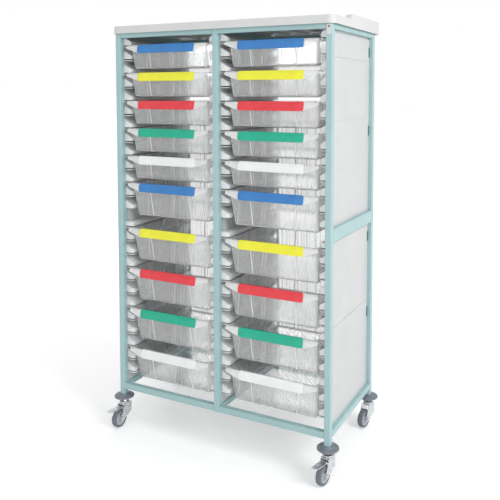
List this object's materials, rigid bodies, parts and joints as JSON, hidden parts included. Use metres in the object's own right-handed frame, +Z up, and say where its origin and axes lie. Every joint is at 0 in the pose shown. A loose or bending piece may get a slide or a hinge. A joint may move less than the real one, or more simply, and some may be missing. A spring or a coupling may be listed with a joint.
{
  "type": "tray storage trolley",
  "caption": "Classroom tray storage trolley: a painted tube frame on swivel castors, with columns of clear lift-out trays on moulded runners under a shallow recessed worktop.",
  "frame": {"origin": "on the floor, in the middle of the trolley's overall footprint", "axes": "+Z up, the front with the trays' labels faces -Y, +X to the right seen from the front"},
  "size_m": [1.051, 0.6224, 1.757],
  "materials": {
    "frame_paint": "pale teal powder coat, semi-gloss",
    "worktop_plastic": "white moulded plastic",
    "panel_plastic": "pale grey moulded plastic",
    "fixings_plastic": "dark teal moulded plastic",
    "tray_plastic": "clear translucent moulded plastic",
    "label_blue": "blue moulded plastic",
    "label_yellow": "yellow moulded plastic",
    "label_red": "red moulded plastic",
    "label_green": "green moulded plastic",
    "label_white": "white moulded plastic",
    "castor_zinc": "bright zinc plate",
    "stem_steel": "plated steel",
    "wheel_rubber": "grey non-marking rubber",
    "bumper_rubber": "grey soft plastic"
  },
  "bodies": {
    "frame": {"frame_posts": "frame_paint", "cross_rails": "frame_paint", "side_rails": "frame_paint", "worktop": "worktop_plastic", "runner_panels": "panel_plastic", "runner_ledges": "panel_plastic", "panel_fixings": "fixings_plastic", "corner_tag": "worktop_plastic", "castor_bumpers": "bumper_rubber", "castor_stems": "stem_steel"},
    "tray_left_01": {"tray_left_01": "tray_plastic", "label_left_01": "label_blue"},
    "tray_left_02": {"tray_left_02": "tray_plastic", "label_left_02": "label_yellow"},
    "tray_left_03": {"tray_left_03": "tray_plastic", "label_left_03": "label_red"},
    "tray_left_04": {"tray_left_04": "tray_plastic", "label_left_04": "label_green"},
    "tray_left_05": {"tray_left_05": "tray_plastic", "label_left_05": "label_white"},
    "tray_left_06": {"tray_left_06": "tray_plastic", "label_left_06": "label_blue"},
    "tray_left_07": {"tray_left_07": "tray_plastic", "label_left_07": "label_yellow"},
    "tray_left_08": {"tray_left_08": "tray_plastic", "label_left_08": "label_red"},
    "tray_left_09": {"tray_left_09": "tray_plastic", "label_left_09": "label_green"},
    "tray_left_10": {"tray_left_10": "tray_plastic", "label_left_10": "label_white"},
    "tray_right_01": {"tray_right_01": "tray_plastic", "label_right_01": "label_blue"},
    "tray_right_02": {"tray_right_02": "tray_plastic", "label_right_02": "label_yellow"},
    "tray_right_03": {"tray_right_03": "tray_plastic", "label_right_03": "label_red"},
    "tray_right_04": {"tray_right_04": "tray_plastic", "label_right_04": "label_green"},
    "tray_right_05": {"tray_right_05": "tray_plastic", "label_right_05": "label_white"},
    "tray_right_06": {"tray_right_06": "tray_plastic", "label_right_06": "label_blue"},
    "tray_right_07": {"tray_right_07": "tray_plastic", "label_right_07": "label_yellow"},
    "tray_right_08": {"tray_right_08": "tray_plastic", "label_right_08": "label_red"},
    "tray_right_09": {"tray_right_09": "tray_plastic", "label_right_09": "label_green"},
    "tray_right_10": {"tray_right_10": "tray_plastic", "label_right_10": "label_white"},
    "fork_front_left": {"castor_fork_front_left": "castor_zinc"},
    "wheel_front_left": {"castor_wheel_front_left": "wheel_rubber"},
    "pedal_front_left": {"brake_pedal_front_left": "castor_zinc"},
    "fork_front_right": {"castor_fork_front_right": "castor_zinc"},
    "wheel_front_right": {"castor_wheel_front_right": "wheel_rubber"},
    "pedal_front_right": {"brake_pedal_front_right": "castor_zinc"},
    "fork_rear_left": {"castor_fork_rear_left": "castor_zinc"},
    "wheel_rear_left": {"castor_wheel_rear_left": "wheel_rubber"},
    "fork_rear_right": {"castor_fork_rear_right": "castor_zinc"},
    "wheel_rear_right": {"castor_wheel_rear_right": "wheel_rubber"}
  },
  "joints": [
    {"name": "tray_left_01_slide", "type": "slide", "parent": "frame", "child": "tray_left_01", "axis": [0, -1, 0], "range_m": [0, 0.42]},
    {"name": "tray_left_02_slide", "type": "slide", "parent": "frame", "child": "tray_left_02", "axis": [0, -1, 0], "range_m": [0, 0.42]},
    {"name": "tray_left_03_slide", "type": "slide", "parent": "frame", "child": "tray_left_03", "axis": [0, -1, 0], "range_m": [0, 0.42]},
    {"name": "tray_left_04_slide", "type": "slide", "parent": "frame", "child": "tray_left_04", "axis": [0, -1, 0], "range_m": [0, 0.42]},
    {"name": "tray_left_05_slide", "type": "slide", "parent": "frame", "child": "tray_left_05", "axis": [0, -1, 0], "range_m": [0, 0.42]},
    {"name": "tray_left_06_slide", "type": "slide", "parent": "frame", "child": "tray_left_06", "axis": [0, -1, 0], "range_m": [0, 0.42]},
    {"name": "tray_left_07_slide", "type": "slide", "parent": "frame", "child": "tray_left_07", "axis": [0, -1, 0], "range_m": [0, 0.42]},
    {"name": "tray_left_08_slide", "type": "slide", "parent": "frame", "child": "tray_left_08", "axis": [0, -1, 0], "range_m": [0, 0.42]},
    {"name": "tray_left_09_slide", "type": "slide", "parent": "frame", "child": "tray_left_09", "axis": [0, -1, 0], "range_m": [0, 0.42]},
    {"name": "tray_left_10_slide", "type": "slide", "parent": "frame", "child": "tray_left_10", "axis": [0, -1, 0], "range_m": [0, 0.42]},
    {"name": "tray_right_01_slide", "type": "slide", "parent": "frame", "child": "tray_right_01", "axis": [0, -1, 0], "range_m": [0, 0.42]},
    {"name": "tray_right_02_slide", "type": "slide", "parent": "frame", "child": "tray_right_02", "axis": [0, -1, 0], "range_m": [0, 0.42]},
    {"name": "tray_right_03_slide", "type": "slide", "parent": "frame", "child": "tray_right_03", "axis": [0, -1, 0], "range_m": [0, 0.42]},
    {"name": "tray_right_04_slide", "type": "slide", "parent": "frame", "child": "tray_right_04", "axis": [0, -1, 0], "range_m": [0, 0.42]},
    {"name": "tray_right_05_slide", "type": "slide", "parent": "frame", "child": "tray_right_05", "axis": [0, -1, 0], "range_m": [0, 0.42]},
    {"name": "tray_right_06_slide", "type": "slide", "parent": "frame", "child": "tray_right_06", "axis": [0, -1, 0], "range_m": [0, 0.42]},
    {"name": "tray_right_07_slide", "type": "slide", "parent": "frame", "child": "tray_right_07", "axis": [0, -1, 0], "range_m": [0, 0.42]},
    {"name": "tray_right_08_slide", "type": "slide", "parent": "frame", "child": "tray_right_08", "axis": [0, -1, 0], "range_m": [0, 0.42]},
    {"name": "tray_right_09_slide", "type": "slide", "parent": "frame", "child": "tray_right_09", "axis": [0, -1, 0], "range_m": [0, 0.42]},
    {"name": "tray_right_10_slide", "type": "slide", "parent": "frame", "child": "tray_right_10", "axis": [0, -1, 0], "range_m": [0, 0.42]},
    {"name": "castor_swivel_front_left", "type": "hinge", "parent": "frame", "child": "fork_front_left", "pos_m": [-0.4825, -0.21129, 0.096], "axis": [0, 0, 1], "continuous": true},
    {"name": "wheel_roll_front_left", "type": "hinge", "parent": "fork_front_left", "child": "wheel_front_left", "pos_m": [-0.48428, -0.24524, 0.038], "axis": [0.9986, -0.0523, 0], "continuous": true},
    {"name": "brake_pedal_hinge_front_left", "type": "hinge", "parent": "fork_front_left", "child": "pedal_front_left", "pos_m": [-0.48339, -0.22826, 0.082], "axis": [0.9986, -0.0523, 0], "range_deg": [0, 12]},
    {"name": "castor_swivel_front_right", "type": "hinge", "parent": "frame", "child": "fork_front_right", "pos_m": [0.4825, -0.21129, 0.096], "axis": [0, 0, 1], "continuous": true},
    {"name": "wheel_roll_front_right", "type": "hinge", "parent": "fork_front_right", "child": "wheel_front_right", "pos_m": [0.4766, -0.24477, 0.038], "axis": [0.9848, -0.1736, 0], "continuous": true},
    {"name": "brake_pedal_hinge_front_right", "type": "hinge", "parent": "fork_front_right", "child": "pedal_front_right", "pos_m": [0.47955, -0.22803, 0.082], "axis": [0.9848, -0.1736, 0], "range_deg": [0, 12]},
    {"name": "castor_swivel_rear_left", "type": "hinge", "parent": "frame", "child": "fork_rear_left", "pos_m": [-0.4825, 0.25871, 0.096], "axis": [0, 0, 1], "continuous": true},
    {"name": "wheel_roll_rear_left", "type": "hinge", "parent": "fork_rear_left", "child": "wheel_rear_left", "pos_m": [-0.48664, 0.22497, 0.038], "axis": [0.9925, -0.1219, 0], "continuous": true},
    {"name": "castor_swivel_rear_right", "type": "hinge", "parent": "frame", "child": "fork_rear_right", "pos_m": [0.4825, 0.25871, 0.096], "axis": [0, 0, 1], "continuous": true},
    {"name": "wheel_roll_rear_right", "type": "hinge", "parent": "fork_rear_right", "child": "wheel_rear_right", "pos_m": [0.47543, 0.22546, 0.038], "axis": [0.9781, -0.2079, 0], "continuous": true}
  ]
}
